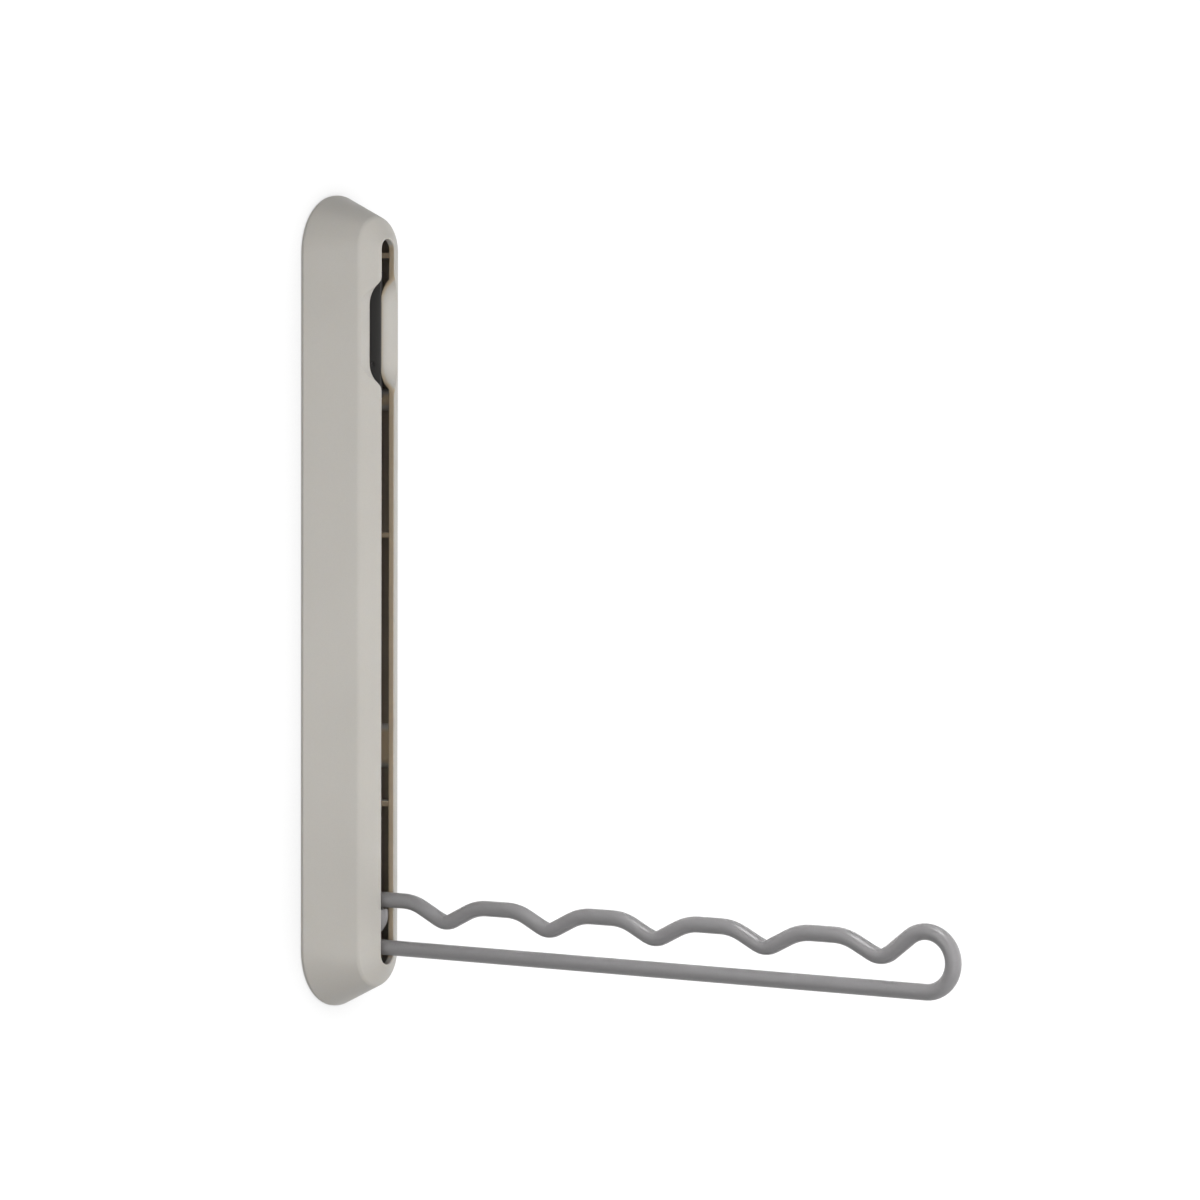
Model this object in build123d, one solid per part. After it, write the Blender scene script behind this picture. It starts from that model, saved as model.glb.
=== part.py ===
from build123d import *
import os
from math import asin, atan, atan2, cos, degrees, hypot, radians, sin, tan

# A wall housing with a wire rail that swings up into its slot.
# The wall is the plane Y = 0, the front faces -Y, and every depth is measured out from the wall.
# X = 0 is the plane of the slot and of the rail. Z = 0 is the middle of the housing.

# Housing, outside
HOUSING_HEIGHT = 320.0
HOUSING_WIDTH = 47.6
BASE_LAND = 1.0
SHOULDER_WIDTH = 26.0
SHOULDER_END = 9.0
SHOULDER_ROUND = 2.6
FRONT_HEIGHT = 4.7
LIP_COVER = 0.4
LIP_LAND = 0.6
LIP_ROUND = 0.45
LIP_BREAK = 0.3
SLOT_END = 17.85
SLOT_CLEARANCE = 1.05

# Housing, inside
WALL = 2.2
SEAT_LEDGE = 0.9
RIB_THICKNESS = 2.0
RIB_CLEARANCE = 2.0
RIB_FOOT = 9.0
RIB_UPPER_SETBACK = 5.95
RIB_MIDDLE_Z = 26.4
RIB_LOWER_SETBACK = 62.65
BOSS_RADIUS = 4.3
BOSS_CLEARANCE = 1.1
BOSS_UPPER_SETBACK = 0.6
BOSS_LOWER_SETBACK = 22.5
BOSS_LOWER_LENGTH = 17.6

# Finger scoop across the slot
SCOOP_SETBACK = 9.75
SCOOP_LENGTH = 54.6
SCOOP_DEPTH = 4.2
SCOOP_RAMP = 16.1
SCOOP_ROUND = 3.7
SCOOP_WALL = 2.3

# Backplate
PLATE_THICKNESS = 2.0
PLATE_CLEARANCE = 0.25
SEAT_CLEARANCE = 0.05
WALL_HOLE_RADIUS = 2.2
WALL_HOLE_SPACING = 140.0
WALL_SINK_RADIUS = 3.8
EAR_THICKNESS = 2.6
EAR_RIM = 1.9
EAR_FOOT = 5.0
STOP_HEIGHT = 1.0
STOP_MARGIN = 1.0

# Rail, one wire
WIRE_RADIUS = 3.0
LOWER_WIRE_SETBACK = 3.6
EYE_GAP = 0.8
EYE_WRAP = 285.0
ROOT_RISE = 0.6
TIP_RISE = 3.6
TIP_CLEARANCE = 2.5
STOW_CLEARANCE = 0.5
NOTCH_PITCH = 48.0
NOTCH_SETBACK = 18.9
NOTCH_DROP = 6.35
NOTCH_RADIUS = 7.7
NOTCH_PRESS = 1.1
NOTCH_FLANK = 9.0
CREST_RADIUS = 20.0
WAVE_SLOPE = 27.0

# Pivot
PIN_RADIUS = 2.95
RUNNING_CLEARANCE = 0.05
SIDE_CLEARANCE = 0.05
SPACER_THICKNESS = 0.8
SPACER_RIM = 2.05
CLIP_THICKNESS = 0.6
CLIP_RIM = 1.45
CLIP_OPENING = 3.4
GROOVE_DEPTH = 0.6
PIN_OVERHANG = 0.7
PIN_CHAMFER = 0.4

# Rail catch behind the scoop
LINER_OVERLAP = 5.5
LINER_CLEARANCE = 1.3
LINER_WALL = 1.5
LINER_FLOOR = 0.5
LINER_TOP_GAP = 0.2
LINER_EDGE_ROUND = 0.5
PIP_RADIUS = 1.0
PIP_DEPTH = 0.8
PIP_SETBACK = 11.5
PIP_BELOW_TOP = 3.9
MAGNET_RADIUS = 4.0
MAGNET_THICKNESS = 1.4

# Cover screws, driven from behind
SCREW_RADIUS = 1.45
SCREW_LENGTH = 11.0
SCREW_HEAD_RADIUS = 2.7
SCREW_HEAD_HEIGHT = 1.3
SCREW_SLOT_WIDTH = 0.7
SCREW_SLOT_DEPTH = 0.6
SCREW_CLEARANCE = 0.05

# The slot takes the wire, and its ends keep their distance from the housing's ends
BASE_CENTRES = HOUSING_HEIGHT - HOUSING_WIDTH
SHOULDER_CENTRES = HOUSING_HEIGHT - 2 * SHOULDER_END - SHOULDER_WIDTH
SLOT_TOP_Z = HOUSING_HEIGHT / 2 - SLOT_END
SLOT_WIDTH = 2 * (WIRE_RADIUS + SLOT_CLEARANCE)
SLOT_CENTRES = 2 * SLOT_TOP_Z - SLOT_WIDTH

# The eye is rolled round the pin just above the lower wire, and the tip folds down to the liner's floor
EYE_RADIUS = PIN_RADIUS + RUNNING_CLEARANCE + WIRE_RADIUS
LOWER_WIRE_Z = -SLOT_TOP_Z + LOWER_WIRE_SETBACK + WIRE_RADIUS
PIVOT_Z = LOWER_WIRE_Z + 2 * WIRE_RADIUS + EYE_GAP + EYE_RADIUS
TIP_OFFSET = EYE_RADIUS - ROOT_RISE + TIP_RISE + WIRE_RADIUS
PIVOT_DEPTH = PLATE_THICKNESS + LINER_FLOOR + STOW_CLEARANCE + TIP_OFFSET
CREST_Z = PIVOT_Z + EYE_RADIUS - ROOT_RISE
TIP_RADIUS = (CREST_Z + TIP_RISE - LOWER_WIRE_Z) / 2
RAIL_REACH = PIVOT_DEPTH + SLOT_TOP_Z - TIP_CLEARANCE - PIVOT_Z
TIP_CENTRE = (RAIL_REACH - TIP_RADIUS - WIRE_RADIUS, LOWER_WIRE_Z + TIP_RADIUS)
STOWED_TIP_Z = PIVOT_Z + TIP_CENTRE[0] - PIVOT_DEPTH
STOP_DEPTH = PLATE_THICKNESS + STOP_HEIGHT

# The lips stand just clear of the eye
LIP_DEPTH = PIVOT_DEPTH + EYE_RADIUS + WIRE_RADIUS + LIP_COVER
SHOULDER_DEPTH = LIP_DEPTH - FRONT_HEIGHT

# As many notches as fit between the lips and the tip, counted back from the tip
NOTCH_LAST_DEPTH = TIP_CENTRE[0] - NOTCH_SETBACK
NOTCH_COUNT = round((NOTCH_LAST_DEPTH - LIP_DEPTH) / NOTCH_PITCH)
NOTCH_FIRST_DEPTH = NOTCH_LAST_DEPTH - (NOTCH_COUNT - 1) * NOTCH_PITCH
NOTCH_CENTRE_Z = CREST_Z - NOTCH_DROP + NOTCH_RADIUS

# Pieces on the pin, from the eye outwards
SPACER_INNER_X = WIRE_RADIUS + SIDE_CLEARANCE
EAR_INNER_X = SPACER_INNER_X + SPACER_THICKNESS + SIDE_CLEARANCE
CLIP_INNER_X = EAR_INNER_X + EAR_THICKNESS + SIDE_CLEARANCE
PIN_END_X = CLIP_INNER_X + CLIP_THICKNESS + SIDE_CLEARANCE + PIN_OVERHANG

# Scoop, liner, ribs and bosses
SCOOP_Z = SLOT_TOP_Z - SCOOP_SETBACK - SCOOP_LENGTH / 2
SCOOP_FLOOR_DEPTH = LIP_DEPTH - SCOOP_DEPTH
LINER_LENGTH = SCOOP_LENGTH - SCOOP_RAMP + 2 * LINER_OVERLAP
LINER_CHANNEL = 2 * (WIRE_RADIUS + LINER_CLEARANCE)
LINER_WIDTH = LINER_CHANNEL + 2 * LINER_WALL
LINER_TOP_DEPTH = SCOOP_FLOOR_DEPTH - SCOOP_WALL - LINER_TOP_GAP
RIB_UPPER_Z = SLOT_TOP_Z - RIB_UPPER_SETBACK
RIB_LOWER_Z = -SLOT_TOP_Z + RIB_LOWER_SETBACK
BOSS_X = LINER_WIDTH / 2 + BOSS_CLEARANCE + BOSS_RADIUS
BOSS_UPPER_Z = SCOOP_Z - LINER_LENGTH / 2 - BOSS_UPPER_SETBACK
BOSS_LOWER_Z = RIB_LOWER_Z + BOSS_LOWER_SETBACK

# Slopes of the housing's side and front faces, and how far the inner faces stand back from them
SIDE_LEAN = (HOUSING_WIDTH - SHOULDER_WIDTH) / 2 / (SHOULDER_DEPTH - BASE_LAND)
FRONT_RISE = (LIP_DEPTH - SHOULDER_DEPTH) / (SHOULDER_WIDTH / 2 - SLOT_WIDTH / 2 - LIP_LAND)
SIDE_INSET = WALL * hypot(SIDE_LEAN, 1)
FRONT_INSET = WALL * hypot(FRONT_RISE, 1)
SHOULDER_SHIFT = (SIDE_INSET - SIDE_LEAN * FRONT_INSET) / (1 - SIDE_LEAN * FRONT_RISE)
PLATE_SEAT_DEPTH = PLATE_THICKNESS + SEAT_CLEARANCE
SEAT_WIDTH = HOUSING_WIDTH - 2 * SIDE_INSET
PLATE_WIDTH = SEAT_WIDTH - 2 * PLATE_CLEARANCE

# The rail's own plane, with depth along its x and height along its y
RAIL_PLANE = Plane((0, 0, 0), x_dir=(0, -1, 0), z_dir=(-1, 0, 0))


def at_depth(depth):
    """The plane parallel to the wall at a depth, with X and Z as its axes."""
    return Plane.XZ.offset(depth)


def at_side(x):
    """The plane at a distance to the side, with depth and Z as its axes."""
    return Plane((x, 0, 0), x_dir=(0, -1, 0), z_dir=(-1, 0, 0))


def stadium(width, centres, depth):
    """An upright round-ended outline at a depth."""
    return at_depth(depth) * SlotCenterToCenter(centres, width, rotation=90)


def rod(radius, x, z, low, high):
    """A cylinder square to the wall between two depths."""
    return extrude(at_depth(low) * Pos(x, z) * Circle(radius), high - low)


def cone(x, z, low, low_radius, high, high_radius):
    """A cone square to the wall between two depths."""
    return loft([at_depth(low) * Pos(x, z) * Circle(low_radius),
                 at_depth(high) * Pos(x, z) * Circle(high_radius)])


def boss_places():
    """Centres of the cover's four screw bosses."""
    return [(side * BOSS_X, z) for side in (-1, 1) for z in (BOSS_UPPER_Z, BOSS_LOWER_Z)]


def housing_outside():
    """The housing's outer form as one solid: a land, drafted sides and a ridged front."""
    base = stadium(HOUSING_WIDTH, BASE_CENTRES, BASE_LAND)
    shoulder = stadium(SHOULDER_WIDTH, SHOULDER_CENTRES, SHOULDER_DEPTH)
    lip = stadium(SLOT_WIDTH + 2 * LIP_LAND, SLOT_CENTRES, LIP_DEPTH)
    body = extrude(stadium(HOUSING_WIDTH, BASE_CENTRES, 0), BASE_LAND)
    body += loft([base, shoulder], ruled=True)
    body += loft([shoulder, lip], ruled=True)
    ridge = body.edges().filter_by(lambda edge: abs(edge.center().Y + SHOULDER_DEPTH) < LIP_ROUND)
    body = fillet(ridge, SHOULDER_ROUND)
    rim = body.edges().filter_by(lambda edge: abs(edge.center().Y + LIP_DEPTH) < LIP_ROUND)
    return fillet(rim, LIP_ROUND)


def housing_cavity():
    """The space inside the housing, from the plate's ledge up to the slot."""
    shoulder_width = SHOULDER_WIDTH - 2 * SHOULDER_SHIFT
    shoulder_depth = SHOULDER_DEPTH + FRONT_RISE * SHOULDER_SHIFT - FRONT_INSET
    foot_lean = SIDE_LEAN * (PLATE_SEAT_DEPTH - BASE_LAND)
    foot = stadium(SEAT_WIDTH - 2 * (SEAT_LEDGE + foot_lean), BASE_CENTRES, PLATE_SEAT_DEPTH)
    shoulder = stadium(shoulder_width, SHOULDER_CENTRES, shoulder_depth)
    crown = stadium(SLOT_WIDTH + 2 * LIP_LAND, SLOT_CENTRES, LIP_DEPTH - FRONT_INSET)
    return loft([foot, shoulder], ruled=True) + loft([shoulder, crown], ruled=True)


def scoop_trough():
    """Section of the scoop above its floor line, with round edges that roll over into the slot."""
    centre = SLOT_WIDTH / 2 + SCOOP_ROUND
    above = Pos(0, HOUSING_WIDTH / 2) * Rectangle(HOUSING_WIDTH, HOUSING_WIDTH)
    below = Pos(0, -SCOOP_ROUND / 2) * Rectangle(2 * centre, SCOOP_ROUND)
    for x in (-centre, centre):
        below -= Pos(x, -SCOOP_ROUND) * Circle(SCOOP_ROUND)
    return above + below


def along_scoop(section, spread):
    """Carry a section along the scoop's floor line: down from the lips, level, and up again."""
    rise = SCOOP_DEPTH + SCOOP_ROUND
    turn = 2 * atan(rise / SCOOP_RAMP)
    radius = SCOOP_RAMP / (2 * sin(turn))
    level_length = SCOOP_LENGTH + 2 * spread - 2 * SCOOP_RAMP
    start = (SCOOP_Z - SCOOP_LENGTH / 2 - spread, LIP_DEPTH + SCOOP_ROUND)
    with BuildLine(Plane((0, 0, 0), x_dir=(0, 0, 1), z_dir=(1, 0, 0))) as route:
        last = JernArc(start, (1, 0), radius, -degrees(turn))
        last = JernArc(last @ 1, last % 1, radius, degrees(turn))
        last = Line(last @ 1, (last @ 1) + (last % 1) * level_length)
        last = JernArc(last @ 1, last % 1, radius, degrees(turn))
        JernArc(last @ 1, last % 1, radius, -degrees(turn))
    place = Plane((0, -start[1], start[0]), x_dir=(1, 0, 0), z_dir=(0, 0, 1))
    return sweep(place * mirror(section, Plane.XZ), path=route.wire(), normal=(0, 0, 1))


def slot():
    """The space of the slot, with a broken edge at the lips."""
    mouth = stadium(SLOT_WIDTH + 4 * LIP_BREAK, SLOT_CENTRES, LIP_DEPTH + LIP_BREAK)
    neck = stadium(SLOT_WIDTH, SLOT_CENTRES, LIP_DEPTH - LIP_BREAK)
    return extrude(stadium(SLOT_WIDTH, SLOT_CENTRES, RIB_FOOT), LIP_DEPTH) + loft([neck, mouth], ruled=True)


def ribs(cavity):
    """Cross ribs inside the front, parted in the middle to let the rail through."""
    middle = (RIB_FOOT + LIP_DEPTH) / 2
    gap = 2 * (WIRE_RADIUS + RIB_CLEARANCE)
    plates = Part()
    for z in (RIB_UPPER_Z, RIB_MIDDLE_Z, RIB_LOWER_Z):
        plate = Pos(0, -middle, z) * Box(HOUSING_WIDTH, LIP_DEPTH - RIB_FOOT, RIB_THICKNESS)
        way = Pos(0, -middle, z) * Box(gap, LIP_DEPTH, RIB_THICKNESS * 2)
        plates += (plate - way) & cavity
    return plates


def bosses(cavity):
    """Screw bosses that stand on the backplate, the lower pair drawn out along the housing."""
    start = at_depth(PLATE_SEAT_DEPTH)
    posts = Part()
    for x, z in boss_places():
        outline = Circle(BOSS_RADIUS)
        if z == BOSS_LOWER_Z:
            outline = SlotOverall(BOSS_LOWER_LENGTH, 2 * BOSS_RADIUS, rotation=90)
        posts += extrude(start * Pos(x, z) * outline, LIP_DEPTH) & cavity
    return posts


def housing():
    """The moulded cover: a drafted shell with a slot, a finger scoop, ribs and bosses."""
    outside = housing_outside()
    cavity = housing_cavity()
    shell = outside - cavity
    shell -= extrude(stadium(SEAT_WIDTH, BASE_CENTRES, 0), PLATE_SEAT_DEPTH)
    shell += ribs(cavity) + bosses(cavity)
    backing = Pos(0, HOUSING_WIDTH / 2 - SCOOP_WALL) * Rectangle(HOUSING_WIDTH, HOUSING_WIDTH)
    shell += along_scoop(backing, SCOOP_WALL) & outside
    shell -= along_scoop(scoop_trough(), 0)
    shell -= slot()
    for x, z in boss_places():
        shell -= rod(SCREW_RADIUS + SCREW_CLEARANCE, x, z, 0, SCREW_LENGTH + SCREW_CLEARANCE)
    return shell


def ear(side):
    """One upright cheek that holds an end of the pivot pin."""
    radius = PIN_RADIUS + RUNNING_CLEARANCE + EAR_RIM
    foot = radius + EAR_FOOT
    cheek = Polygon((PLATE_THICKNESS, PIVOT_Z - foot), (PIVOT_DEPTH, PIVOT_Z - radius),
                    (PIVOT_DEPTH, PIVOT_Z + radius), (PLATE_THICKNESS, PIVOT_Z + foot), align=None)
    cheek += Pos(PIVOT_DEPTH, PIVOT_Z) * Circle(radius)
    cheek -= Pos(PIVOT_DEPTH, PIVOT_Z) * Circle(PIN_RADIUS + RUNNING_CLEARANCE)
    inner = EAR_INNER_X if side < 0 else -EAR_INNER_X - EAR_THICKNESS
    return extrude(at_side(-inner) * cheek, EAR_THICKNESS)


def backplate():
    """The wall plate: two fixing holes, the pivot's ears and the stop for the rail's lower wire."""
    plate = extrude(stadium(PLATE_WIDTH, BASE_CENTRES, 0), PLATE_THICKNESS)
    plate += ear(-1) + ear(1)
    stop = 2 * (WIRE_RADIUS + STOP_MARGIN)
    pad = at_depth(PLATE_THICKNESS) * Pos(0, LOWER_WIRE_Z) * Rectangle(stop, stop)
    plate += extrude(pad, STOP_HEIGHT)
    sink = WALL_SINK_RADIUS - WALL_HOLE_RADIUS
    for z in (-WALL_HOLE_SPACING / 2, WALL_HOLE_SPACING / 2):
        plate -= rod(WALL_HOLE_RADIUS, 0, z, 0, PLATE_THICKNESS)
        plate -= cone(0, z, PLATE_THICKNESS - sink, WALL_HOLE_RADIUS, PLATE_THICKNESS, WALL_SINK_RADIUS)
    for x, z in boss_places():
        head = SCREW_HEAD_RADIUS + SCREW_CLEARANCE
        shank = SCREW_RADIUS + SCREW_CLEARANCE
        plate -= rod(shank, x, z, 0, PLATE_THICKNESS)
        plate -= cone(x, z, 0, head, SCREW_HEAD_HEIGHT, shank)
    pocket = PLATE_THICKNESS - MAGNET_THICKNESS
    plate -= rod(MAGNET_RADIUS + SEAT_CLEARANCE, 0, STOWED_TIP_Z, pocket, PLATE_THICKNESS)
    return plate


def wave_lengths():
    """Length of the straight slopes and half length of the flat crests of the rail's wave."""
    angle = radians(WAVE_SLOPE)
    radii = CREST_RADIUS + NOTCH_RADIUS
    slope = (NOTCH_DROP - radii * (1 - cos(angle))) / sin(angle)
    flat = NOTCH_PITCH / 2 - radii * sin(angle) - slope * cos(angle)
    return slope, flat


def tip_slope():
    """Angle of the straight that runs from the round tip down into the last notch."""
    rise = NOTCH_CENTRE_Z - TIP_CENTRE[1]
    span = hypot(NOTCH_SETBACK, rise)
    lean = asin((TIP_RADIUS + NOTCH_RADIUS) / span)
    return degrees(lean - atan2(rise, NOTCH_SETBACK)), span * cos(lean)


def notch_presses():
    """The wedges that press a sharp seat into the top of each notch."""
    seat_z = CREST_Z - NOTCH_DROP + WIRE_RADIUS - NOTCH_PRESS
    half = WIRE_RADIUS / tan(radians(WAVE_SLOPE + NOTCH_FLANK))
    wedges = Part()
    for index in range(NOTCH_COUNT):
        depth = NOTCH_FIRST_DEPTH + index * NOTCH_PITCH
        wedge = Polygon((depth, seat_z), (depth + half, seat_z + WIRE_RADIUS),
                        (depth - half, seat_z + WIRE_RADIUS), align=None)
        wedges += extrude(RAIL_PLANE * wedge, WIRE_RADIUS, both=True)
    return wedges


def rail_wire():
    """The wire: straight below, round at the tip, waved above and rolled into an eye at the pivot."""
    slope, flat = wave_lengths()
    root_slope = slope + ROOT_RISE / sin(radians(WAVE_SLOPE))
    tip_angle, tip_run = tip_slope()
    start = (STOP_DEPTH + SIDE_CLEARANCE, LOWER_WIRE_Z)
    with BuildLine(RAIL_PLANE) as route:
        last = Line(start, (TIP_CENTRE[0], LOWER_WIRE_Z))
        last = JernArc(last @ 1, last % 1, TIP_RADIUS, 180 + tip_angle)
        last = Line(last @ 1, (last @ 1) + (last % 1) * tip_run)
        fall = tip_angle
        for index in range(NOTCH_COUNT):
            climb = slope if index < NOTCH_COUNT - 1 else root_slope
            last = JernArc(last @ 1, last % 1, NOTCH_RADIUS, -fall - WAVE_SLOPE)
            last = Line(last @ 1, (last @ 1) + (last % 1) * climb)
            last = JernArc(last @ 1, last % 1, CREST_RADIUS, WAVE_SLOPE)
            if index < NOTCH_COUNT - 1:
                last = Line(last @ 1, (last @ 1) + (last % 1) * 2 * flat)
                last = JernArc(last @ 1, last % 1, CREST_RADIUS, WAVE_SLOPE)
                last = Line(last @ 1, (last @ 1) + (last % 1) * slope)
                fall = WAVE_SLOPE
        root = NOTCH_FIRST_DEPTH - NOTCH_PITCH / 2 + flat - PIVOT_DEPTH
        root -= ROOT_RISE / tan(radians(WAVE_SLOPE))
        last = Line(last @ 1, (last @ 1) + (last % 1) * root)
        JernArc(last @ 1, last % 1, EYE_RADIUS, EYE_WRAP)
    section = Plane((0, -start[0], start[1]), x_dir=(1, 0, 0), z_dir=(0, -1, 0)) * Circle(WIRE_RADIUS)
    return sweep(section, path=route.wire()) - notch_presses()


def pivot_pin():
    """The pin through the rail's eye, grooved for a clip at each end."""
    centre = Pos(PIVOT_DEPTH, PIVOT_Z)
    pin = extrude(at_side(0) * centre * Circle(PIN_RADIUS), PIN_END_X, both=True)
    pin = chamfer(pin.edges().filter_by(GeomType.CIRCLE), PIN_CHAMFER)
    groove = Circle(PIN_RADIUS) - Circle(PIN_RADIUS - GROOVE_DEPTH)
    width = CLIP_THICKNESS + SIDE_CLEARANCE
    pin -= extrude(at_side(CLIP_INNER_X + width) * centre * groove, width)
    pin -= extrude(at_side(-CLIP_INNER_X) * centre * groove, width)
    return pin


def pin_clips():
    """The two open rings that keep the pin in its ears."""
    radius = PIN_RADIUS + CLIP_RIM
    ring = Circle(radius) - Circle(PIN_RADIUS - GROOVE_DEPTH + RUNNING_CLEARANCE)
    ring -= Pos(0, radius) * Rectangle(CLIP_OPENING, 2 * radius)
    centre = Pos(PIVOT_DEPTH, PIVOT_Z)
    right = extrude(at_side(CLIP_INNER_X + CLIP_THICKNESS) * centre * ring, CLIP_THICKNESS)
    left = extrude(at_side(-CLIP_INNER_X) * centre * ring, CLIP_THICKNESS)
    return Compound([right.solid(), left.solid()])


def spacer(side):
    """A plain ring that keeps the rail's eye centred between the ears."""
    ring = Circle(PIN_RADIUS + SPACER_RIM) - Circle(PIN_RADIUS + RUNNING_CLEARANCE)
    outer = SPACER_INNER_X + SPACER_THICKNESS if side > 0 else -SPACER_INNER_X
    return extrude(at_side(outer) * Pos(PIVOT_DEPTH, PIVOT_Z) * ring, SPACER_THICKNESS)


def tip_liner():
    """A channel behind the scoop that takes the rail's tip, with a pip hole in each wall."""
    frame = at_depth(PLATE_THICKNESS) * Pos(0, SCOOP_Z)
    channel = extrude(frame * Rectangle(LINER_WIDTH, LINER_LENGTH), LINER_TOP_DEPTH - PLATE_THICKNESS)
    inside = at_depth(PLATE_THICKNESS + LINER_FLOOR) * Pos(0, SCOOP_Z)
    channel -= extrude(inside * Rectangle(LINER_CHANNEL, LINER_LENGTH), LINER_TOP_DEPTH)
    rims = channel.edges().filter_by(Axis.Z)
    rims = rims.filter_by(lambda edge: abs(edge.center().Y + LINER_TOP_DEPTH) < LINER_EDGE_ROUND)
    channel = fillet(rims, LINER_EDGE_ROUND)
    pip = Pos(LINER_TOP_DEPTH - PIP_BELOW_TOP, SCOOP_Z - PIP_SETBACK) * Circle(PIP_RADIUS)
    for x in (LINER_CHANNEL / 2 + PIP_DEPTH, -LINER_CHANNEL / 2):
        channel -= extrude(at_side(x) * pip, PIP_DEPTH)
    return channel


def catch_magnet():
    """The disc under the liner that draws the stowed rail's tip home."""
    low = PLATE_THICKNESS - MAGNET_THICKNESS
    return rod(MAGNET_RADIUS, 0, STOWED_TIP_Z, low, PLATE_THICKNESS)


def cover_screws():
    """The four countersunk screws that hold the cover to the plate."""
    screws = []
    for x, z in boss_places():
        screw = rod(SCREW_RADIUS, x, z, 0, SCREW_LENGTH)
        screw += cone(x, z, 0, SCREW_HEAD_RADIUS, SCREW_HEAD_HEIGHT, SCREW_RADIUS)
        groove = Rectangle(2 * SCREW_HEAD_RADIUS, SCREW_SLOT_WIDTH)
        screw -= extrude(at_depth(0) * Pos(x, z) * groove, SCREW_SLOT_DEPTH)
        screws.append(screw.solid())
    return Compound(screws)


def save(name, shape):
    """Write one piece to its own file."""
    export_step(shape, os.path.join("parts", name + ".step"))


os.makedirs("parts", exist_ok=True)
save("housing", housing())
save("backplate", backplate())
save("rail_wire", rail_wire())
save("pivot_pin", pivot_pin())
save("pin_clips", pin_clips())
save("left_spacer", spacer(-1))
save("right_spacer", spacer(1))
save("tip_liner", tip_liner())
save("catch_magnet", catch_magnet())
save("cover_screws", cover_screws())
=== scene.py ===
from math import pi, radians

import bpy
from mathutils import Matrix, Vector

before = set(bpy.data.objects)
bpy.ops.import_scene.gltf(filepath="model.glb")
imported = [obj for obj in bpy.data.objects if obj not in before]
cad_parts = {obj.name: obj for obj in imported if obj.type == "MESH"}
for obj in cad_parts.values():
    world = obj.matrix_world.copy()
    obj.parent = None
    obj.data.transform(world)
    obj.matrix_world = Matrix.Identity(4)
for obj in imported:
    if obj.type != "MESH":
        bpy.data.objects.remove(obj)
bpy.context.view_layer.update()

# A folding wall rail, open, on a white wall. Lengths are in metres, in the frame of the solids.
# The wall is the plane Y = 0, the front faces -Y and Z is up.
MM = 0.001
X_AXIS, Y_AXIS = 0, 1

# Camera, fitted to the housing and the rail in the photograph. Angles are in degrees.
CAMERA_PLACE = (-1.20700, -0.90768, 0.04313)
CAMERA_YAW = 56.989
CAMERA_PITCH = 1.606
CAMERA_ROLL = 0.154
CAMERA_LENS = 114.36
CAMERA_SENSOR = 36.0
CAMERA_REACH = 20.0

# Studio. The wall and the floor have the same paint, and a gap keeps each out of the other's shade.
WALL_SIZE = 3.2
WALL_GAP = 0.2 * MM
FLOOR_SIZE = 4.0
FLOOR_DROP = 0.9
FLOOR_GAP = 0.1
PAINT_ALBEDO = 0.16
PAINT_GLOW = 0.95
PAINT_SHADE = 0.70
PAINT_SHADE_REACH = 80 * MM
WORLD_SIDE_LEVEL = 0.12
WORLD_BACK_LEVEL = 0.30
WORLD_TOP_LEVEL = 0.04
WORLD_LOW_LEVEL = 0.05

# Soft lights: place, target, size, spread of the beam in degrees, and the level that each gives to
# a white surface that faces it at the target
MIDDLE = (0.0, 0.0, -0.03)
HOUSING_SIDE = (0.0, 0.0, -0.02)
RAIL_END = (0.0, -0.23, -0.12)
OPEN_BEAM = 180.0
NARROW_BEAM = 30.0
SOFTBOXES = {
    "front_softbox": ((0.0, -1.8, -0.375), MIDDLE, 1.2, OPEN_BEAM, 0.513),
    "key_softbox": ((-2.0, -2.0, -0.04), MIDDLE, 1.6, OPEN_BEAM, 0.214),
    "left_softbox": ((-0.55, -0.15, -0.02), HOUSING_SIDE, 0.25, OPEN_BEAM, 0.17),
    "right_softbox": ((0.9, -0.9, 0.0), MIDDLE, 0.6, OPEN_BEAM, 0.13),
    "high_softbox": ((-0.6, -1.6, 1.3), MIDDLE, 1.2, OPEN_BEAM, 0.062),
    "rail_softbox": ((-0.18, -0.32, 0.55), RAIL_END, 0.34, NARROW_BEAM, 0.045),
    "back_softbox": ((0.0, 1.8, 0.2), MIDDLE, 0.9, OPEN_BEAM, 0.35),
}
# Their mirror images would burn out the screw heads and the housing's sides, seen from behind
UNMIRRORED_SOFTBOXES = ("front_softbox", "back_softbox")

# Colours, linear
WHITE = (1.0, 1.0, 1.0, 1.0)
HOUSING_COLOUR = (0.564, 0.540, 0.498)
# Painted light: a warm glow put into the colour of the housing's inward faces, for light that comes
# through its thin walls
PAINTED_GLOW_COLOUR = (0.600, 0.490, 0.350)
CHARCOAL_COLOUR = (0.118, 0.116, 0.113)
# The backplate's charcoal, partly painted bounce light: browner than the other charcoal, for warm
# light bounced off the beige walls inside
BACKPLATE_CHARCOAL_AND_PAINTED_BOUNCE = (0.125, 0.108, 0.090)
RAIL_COLOUR = (0.290, 0.283, 0.288)
NYLON_COLOUR = (0.255, 0.262, 0.275)
STEEL_COLOUR = (0.58, 0.58, 0.57)
SPRING_COLOUR = (0.26, 0.26, 0.27)
NICKEL_COLOUR = (0.66, 0.64, 0.60)

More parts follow.
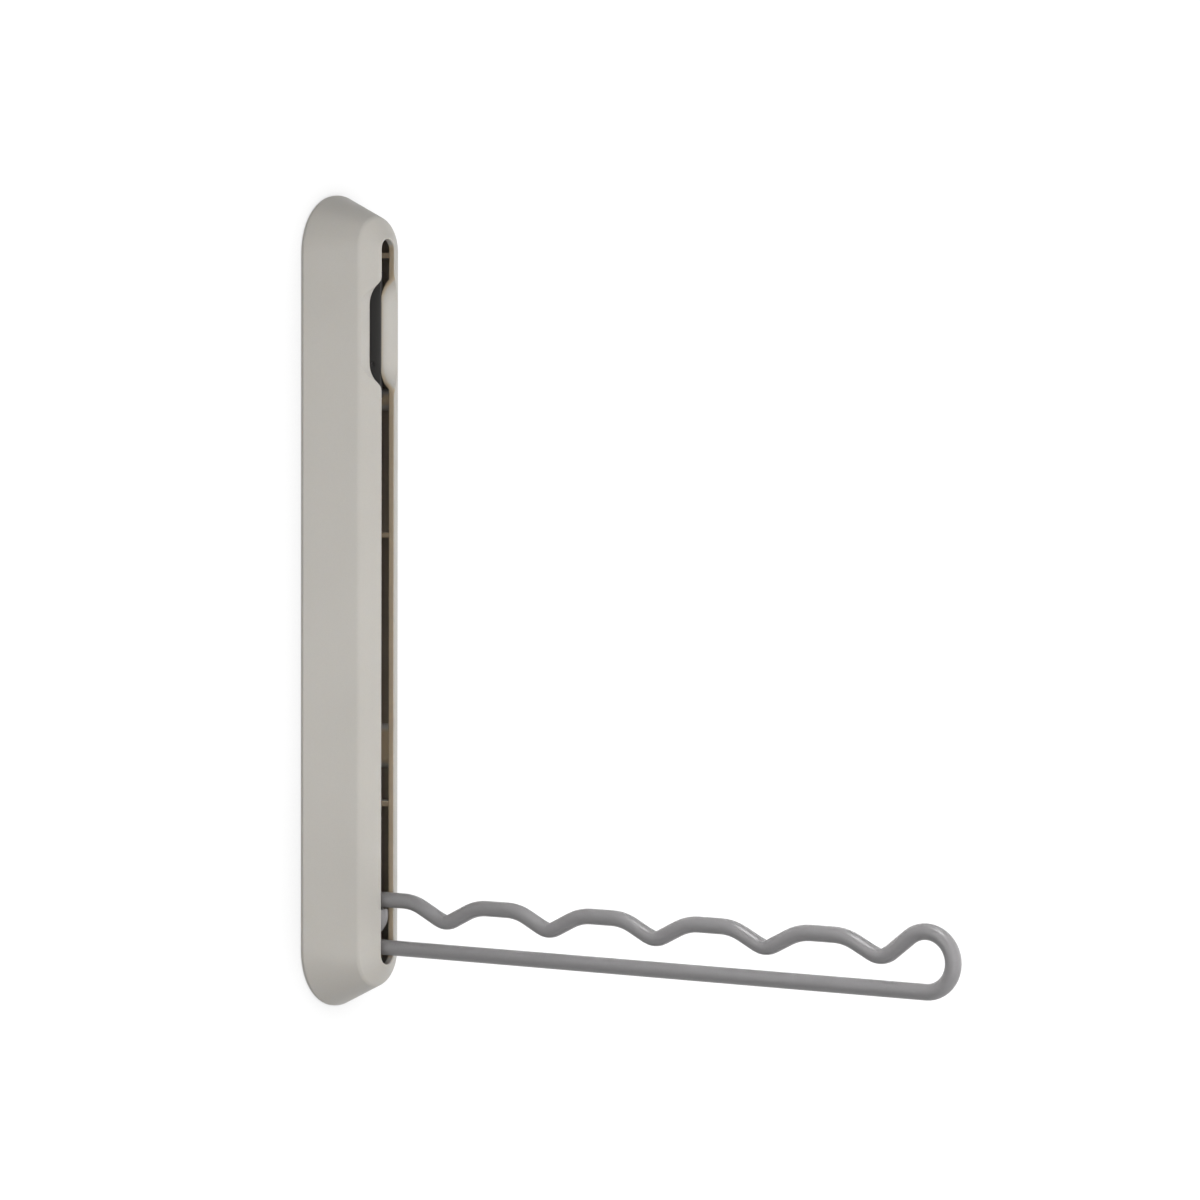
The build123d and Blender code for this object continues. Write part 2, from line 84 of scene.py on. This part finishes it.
# Moulded plastics: roughness, grain size, relief of the grain and radius of the softened edges
HOUSING_MOULDING = (0.42, 0.7 * MM, 0.006 * MM, 0.2 * MM)
CHARCOAL_MOULDING = (0.5, 0.5 * MM, 0.008 * MM, 0.3 * MM)
NYLON_MOULDING = (0.4, 0.4 * MM, 0.004 * MM, 0.1 * MM)
FLOW_SIZE, FLOW_TINT = 45 * MM, (0.975, 1.015)
GRAIN_TINT = (-0.015, 0.015)
GLOSS_SIZE, GLOSS_SWING = 12 * MM, 0.04
# How squarely a face must look inward for the painted warm glow to fade in
INWARD_RANGE = (-0.98, -0.80)
HOUSING_DEPTH = {
    "Subsurface_Weight": 0.1,
    "Subsurface_Radius": (1.0, 0.62, 0.34),
    "Subsurface_Scale": 0.8 * MM,
}

# Powder coat: orange peel, specks and patches of gloss
PEEL_SIZE, PEEL_TINT, PEEL_RELIEF = 1.6 * MM, (0.985, 1.015), 0.012 * MM
SPECK_SIZE, SPECK_TINT, SPECK_RELIEF = 0.25 * MM, (-0.03, 0.03), 0.004 * MM
COAT_GLOSS_SIZE, COAT_ROUGHNESS = 9 * MM, (0.28, 0.36)

# Metal nodes: name of the material, colour, roughness and the axis that the turning lines cross
METALS = {
    "pivot_pin": ("pin_steel", STEEL_COLOUR, 0.3, X_AXIS),
    "pin_clips": ("clip_steel", SPRING_COLOUR, 0.34, X_AXIS),
    "catch_magnet": ("magnet_nickel", NICKEL_COLOUR, 0.2, Y_AXIS),
    "cover_screws": ("screw_zinc", STEEL_COLOUR, 0.36, Y_AXIS),
}
LINE_SIZE, LINE_TINT, LINE_RELIEF, LINE_STRETCH = 0.12 * MM, (0.9, 1.06), 0.006 * MM, 0.06
LINE_SMOOTHER, LINE_ROUGHER = 0.06, 0.08
STAIN_SIZE, STAIN_TINT = 3 * MM, (0.92, 1.02)

# Sockets of a Mix node for vectors, which have the same names as those of its other kinds
MIX_FACTOR, MIX_FIRST_VECTOR, MIX_SECOND_VECTOR, MIX_VECTOR_RESULT = 0, 4, 5, 1


class Nodes:
    """A short way to build one node tree."""

    def __init__(self, tree):
        self.tree = tree
        tree.nodes.clear()

    def add(self, kind, inputs=None, **settings):
        """A new node, with its settings and with values or sockets for its inputs."""
        node = self.tree.nodes.new("ShaderNode" + kind)
        for name, value in settings.items():
            setattr(node, name, value)
        for name, value in (inputs or {}).items():
            if isinstance(value, bpy.types.NodeSocket):
                self.tree.links.new(value, node.inputs[name])
            else:
                node.inputs[name].default_value = value
        return node

    def place(self):
        """The coordinates of the frame."""
        return self.add("TexCoord").outputs["Object"]

    def parts(self, vector):
        """The X, Y and Z of a vector."""
        return self.add("SeparateXYZ", {"Vector": vector}).outputs

    def math(self, operation, first, second=0.0):
        """The result of one sum."""
        return self.add("Math", {0: first, 1: second}, operation=operation).outputs[0]

    def mix(self, amount, first, second):
        """A number that goes from first to second as amount goes from 0 to 1."""
        return self.add("Mix", {"Factor": amount, "A": first, "B": second}).outputs["Result"]

    def mix_colours(self, amount, first, second):
        """A colour that goes from first to second as amount goes from 0 to 1."""
        inputs = {MIX_FACTOR: amount, MIX_FIRST_VECTOR: first, MIX_SECOND_VECTOR: second}
        return self.add("Mix", inputs, data_type="VECTOR").outputs[MIX_VECTOR_RESULT]

    def noise(self, place, size, detail=2.0, roughness=0.5):
        """Soft noise whose grains are about size metres wide, from 0 to 1."""
        inputs = {"Vector": place, "Scale": 1.0 / size, "Detail": detail, "Roughness": roughness}
        return self.add("TexNoise", inputs).outputs["Fac"]

    def spread(self, value, low, high, from_low=0.3, from_high=0.7):
        """A value moved into the range from low to high. Noise mostly lies between 0.3 and 0.7."""
        inputs = {"Value": value, "From Min": from_low, "From Max": from_high}
        inputs.update({"To Min": low, "To Max": high})
        return self.add("MapRange", inputs).outputs["Result"]

    def tint(self, colour, amount):
        """A colour made lighter or darker by an amount around 1."""
        inputs = {"Vector": colour, "Scale": amount}
        return self.add("VectorMath", inputs, operation="SCALE").outputs["Vector"]

    def bump(self, height, depth, normal=None):
        """A bumped normal whose relief is depth metres."""
        inputs = {"Height": height, "Distance": depth, "Strength": 1.0}
        if normal:
            inputs["Normal"] = normal
        return self.add("Bump", inputs).outputs["Normal"]


def surface(name):
    """A new material with its node builder."""
    material = bpy.data.materials.new(name)
    material.use_nodes = True
    return material, Nodes(material.node_tree)


def close(nodes, colour, roughness, normal, **constants):
    """End a material with its shader."""
    inputs = {"Base Color": colour, "Roughness": roughness, "Normal": normal}
    shader = nodes.add("BsdfPrincipled", inputs)
    for key, value in constants.items():
        shader.inputs[key.replace("_", " ")].default_value = value
    nodes.add("OutputMaterial", {"Surface": shader.outputs["BSDF"]})


def painted_inward_glow(nodes, place, colour, painted_glow):
    """A colour that turns towards a painted warm glow on surfaces that face the middle plane:
    painted light for the light which comes through the thin walls.
    """
    side = nodes.math("SIGN", nodes.parts(place)["X"])
    facing = nodes.parts(nodes.add("TexCoord").outputs["Normal"])["X"]
    painted_glow_amount = nodes.spread(nodes.math("MULTIPLY", side, facing), 1.0, 0.0, *INWARD_RANGE)
    return nodes.mix_colours(painted_glow_amount, colour, painted_glow)


def moulded_plastic(name, colour, moulding, painted_glow=None, **constants):
    """Moulded plastic: a fine spark-eroded grain, faint flow variation and slightly soft edges, and
    a painted warm glow on inward faces when one is given.
    """
    roughness, grain_size, relief, edge = moulding
    material, nodes = surface(name)
    place = nodes.place()
    # Painted light: inward faces get a warm glow in their colour, for light that comes through the
    # thin walls
    if painted_glow:
        colour = painted_inward_glow(nodes, place, colour, painted_glow)
    flow = nodes.noise(place, FLOW_SIZE, detail=3.0)
    grain = nodes.noise(place, grain_size, detail=4.0, roughness=0.6)
    shade = nodes.math("ADD", nodes.spread(flow, *FLOW_TINT), nodes.spread(grain, *GRAIN_TINT))
    patches = nodes.noise(place, GLOSS_SIZE)
    gloss = nodes.spread(patches, roughness - GLOSS_SWING, roughness + GLOSS_SWING)
    soft = nodes.add("Bevel", {"Radius": edge}, samples=4).outputs["Normal"]
    normal = nodes.bump(grain, relief, soft)
    close(nodes, nodes.tint(colour, shade), gloss, normal, Specular_IOR_Level=0.4, **constants)
    return material


def powder_coat(name, colour):
    """Satin powder coat: orange peel, fine specks and a smooth sheen."""
    material, nodes = surface(name)
    place = nodes.place()
    peel = nodes.noise(place, PEEL_SIZE, detail=1.5)
    speck = nodes.noise(place, SPECK_SIZE)
    shade = nodes.math("ADD", nodes.spread(peel, *PEEL_TINT), nodes.spread(speck, *SPECK_TINT))
    gloss = nodes.spread(nodes.noise(place, COAT_GLOSS_SIZE), *COAT_ROUGHNESS)
    normal = nodes.bump(peel, PEEL_RELIEF)
    normal = nodes.bump(speck, SPECK_RELIEF, normal)
    close(nodes, nodes.tint(colour, shade), gloss, normal, Specular_IOR_Level=0.5)
    return material


def turned_metal(name, colour, roughness, across):
    """Turned or drawn metal: fine lines across one axis of the frame, and small stains."""
    material, nodes = surface(name)
    place = nodes.place()
    stretch = tuple(1.0 if axis == across else LINE_STRETCH for axis in range(3))
    drawn = nodes.add("VectorMath", {0: place, 1: stretch}, operation="MULTIPLY")
    lines = nodes.noise(drawn.outputs["Vector"], LINE_SIZE, detail=3.0, roughness=0.6)
    stain = nodes.noise(place, STAIN_SIZE, detail=3.0)
    stained = nodes.spread(stain, *STAIN_TINT)
    shade = nodes.math("MULTIPLY", nodes.spread(lines, *LINE_TINT), stained)
    gloss = nodes.spread(lines, roughness - LINE_SMOOTHER, roughness + LINE_ROUGHER)
    normal = nodes.bump(lines, LINE_RELIEF)
    close(nodes, nodes.tint(colour, shade), gloss, normal, Metallic=1.0)
    return material


def studio_paint(name):
    """White with the object's soft shadow for the camera, and clear for every other ray."""
    material, nodes = surface(name)
    camera_ray = nodes.add("LightPath").outputs["Is Camera Ray"]
    front = nodes.math("SUBTRACT", 1.0, nodes.add("NewGeometry").outputs["Backfacing"])
    shown = nodes.math("MULTIPLY", camera_ray, front)
    paint = nodes.add("BsdfDiffuse", {"Color": (PAINT_ALBEDO, PAINT_ALBEDO, PAINT_ALBEDO, 1.0)})
    contact = nodes.add("AmbientOcclusion", {"Distance": PAINT_SHADE_REACH}, samples=8)
    level = nodes.mix(contact.outputs["AO"], PAINT_GLOW * (1.0 - PAINT_SHADE), PAINT_GLOW)
    glow = nodes.add("Emission", {"Color": WHITE, "Strength": level})
    white = nodes.add("AddShader", {0: paint.outputs[0], 1: glow.outputs[0]})
    clear = nodes.add("BsdfTransparent")
    mixed = nodes.add("MixShader", {"Fac": shown, 1: clear.outputs[0], 2: white.outputs[0]})
    nodes.add("OutputMaterial", {"Surface": mixed.outputs[0]})
    return material


def plane(name, size, turn, place, material):
    """A flat square of the studio."""
    half = size / 2
    corners = [(-half, -half, 0), (half, -half, 0), (half, half, 0), (-half, half, 0)]
    mesh = bpy.data.meshes.new(name)
    mesh.from_pydata(corners, [], [(0, 1, 2, 3)])
    sheet = bpy.data.objects.new(name, mesh)
    sheet.matrix_world = Matrix.Translation(place) @ turn.to_4x4()
    mesh.materials.append(material)
    bpy.context.scene.collection.objects.link(sheet)


def soft_light(name, place, target, size, spread, level):
    """A square soft light that gives a white surface facing it, at the target, that level."""
    data = bpy.data.lights.new(name, "AREA")
    data.shape = "SQUARE"
    data.size = size
    data.spread = radians(spread)
    reach = Vector(target) - Vector(place)
    data.energy = level * pi * pi * reach.length_squared
    lamp = bpy.data.objects.new(name, data)
    lamp.location = place
    lamp.rotation_euler = reach.to_track_quat("-Z", "Y").to_euler()
    lamp.visible_glossy = name not in UNMIRRORED_SOFTBOXES
    bpy.context.scene.collection.objects.link(lamp)


def studio_world():
    """White where the camera or a reflection sees it, and a soft light, strongest from behind."""
    world = bpy.data.worlds.new("studio")
    world.use_nodes = True
    nodes = Nodes(world.node_tree)
    path = nodes.add("LightPath").outputs
    seen = nodes.math("MAXIMUM", path["Is Camera Ray"], path["Is Glossy Ray"])
    seen = nodes.math("MAXIMUM", seen, path["Is Transmission Ray"])
    ray = nodes.parts(nodes.add("TexCoord").outputs["Generated"])
    behind = nodes.math("GREATER_THAN", ray["Y"], 0.0)
    side = nodes.mix(behind, WORLD_SIDE_LEVEL, WORLD_BACK_LEVEL)
    above = nodes.math("GREATER_THAN", ray["Z"], 0.0)
    end = nodes.mix(above, WORLD_LOW_LEVEL, WORLD_TOP_LEVEL)
    level = nodes.mix(nodes.math("ABSOLUTE", ray["Z"]), side, end)
    light = nodes.add("Background", {"Color": WHITE, "Strength": nodes.mix(seen, level, 1.0)})
    nodes.add("OutputWorld", {"Surface": light.outputs[0]})
    bpy.context.scene.world = world


def studio():
    """Wall, floor, world and lamps."""
    upright = Matrix.Rotation(pi / 2, 3, "X")
    wall_place = (0, WALL_GAP, WALL_SIZE / 2 - FLOOR_DROP)
    plane("backdrop", WALL_SIZE, upright, wall_place, studio_paint("studio_wall"))
    floor_place = (0, 0, -FLOOR_DROP - FLOOR_GAP)
    plane("floor", FLOOR_SIZE, Matrix.Identity(3), floor_place, studio_paint("studio_floor"))
    studio_world()
    for name, settings in SOFTBOXES.items():
        soft_light(name, *settings)


def camera():
    """The photograph's camera."""
    data = bpy.data.cameras.new("photo_camera")
    data.lens = CAMERA_LENS
    data.sensor_width = CAMERA_SENSOR
    data.clip_end = CAMERA_REACH
    eye = bpy.data.objects.new("photo_camera", data)
    turn = Matrix.Rotation(-radians(CAMERA_YAW), 4, "Z")
    turn @= Matrix.Rotation(pi / 2 - radians(CAMERA_PITCH), 4, "X")
    turn @= Matrix.Rotation(radians(CAMERA_ROLL), 4, "Z")
    eye.matrix_world = Matrix.Translation(CAMERA_PLACE) @ turn
    bpy.context.scene.collection.objects.link(eye)
    bpy.context.scene.camera = eye


def dress(node, material):
    """Give a CAD node its finish."""
    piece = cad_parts[node]
    piece.data.materials.clear()
    piece.data.materials.append(material)


def finishes():
    """A material for every node."""
    # The housing carries the painted warm glow on its inward faces
    shell = moulded_plastic(
        "housing_plastic", HOUSING_COLOUR, HOUSING_MOULDING, PAINTED_GLOW_COLOUR, **HOUSING_DEPTH
    )
    dress("housing", shell)
    dress("tip_liner", moulded_plastic("charcoal_plastic", CHARCOAL_COLOUR, CHARCOAL_MOULDING))
    # The backplate's colour holds painted warm bounce light as well as its charcoal
    dress("backplate", moulded_plastic("backplate_plastic", BACKPLATE_CHARCOAL_AND_PAINTED_BOUNCE, CHARCOAL_MOULDING))
    nylon = moulded_plastic("grey_nylon", NYLON_COLOUR, NYLON_MOULDING)
    dress("left_spacer", nylon)
    dress("right_spacer", nylon)
    dress("rail_wire", powder_coat("rail_coat", RAIL_COLOUR))
    for node, metal in METALS.items():
        dress(node, turned_metal(*metal))


bpy.context.scene.view_settings.view_transform = "Standard"
studio()
camera()
finishes()
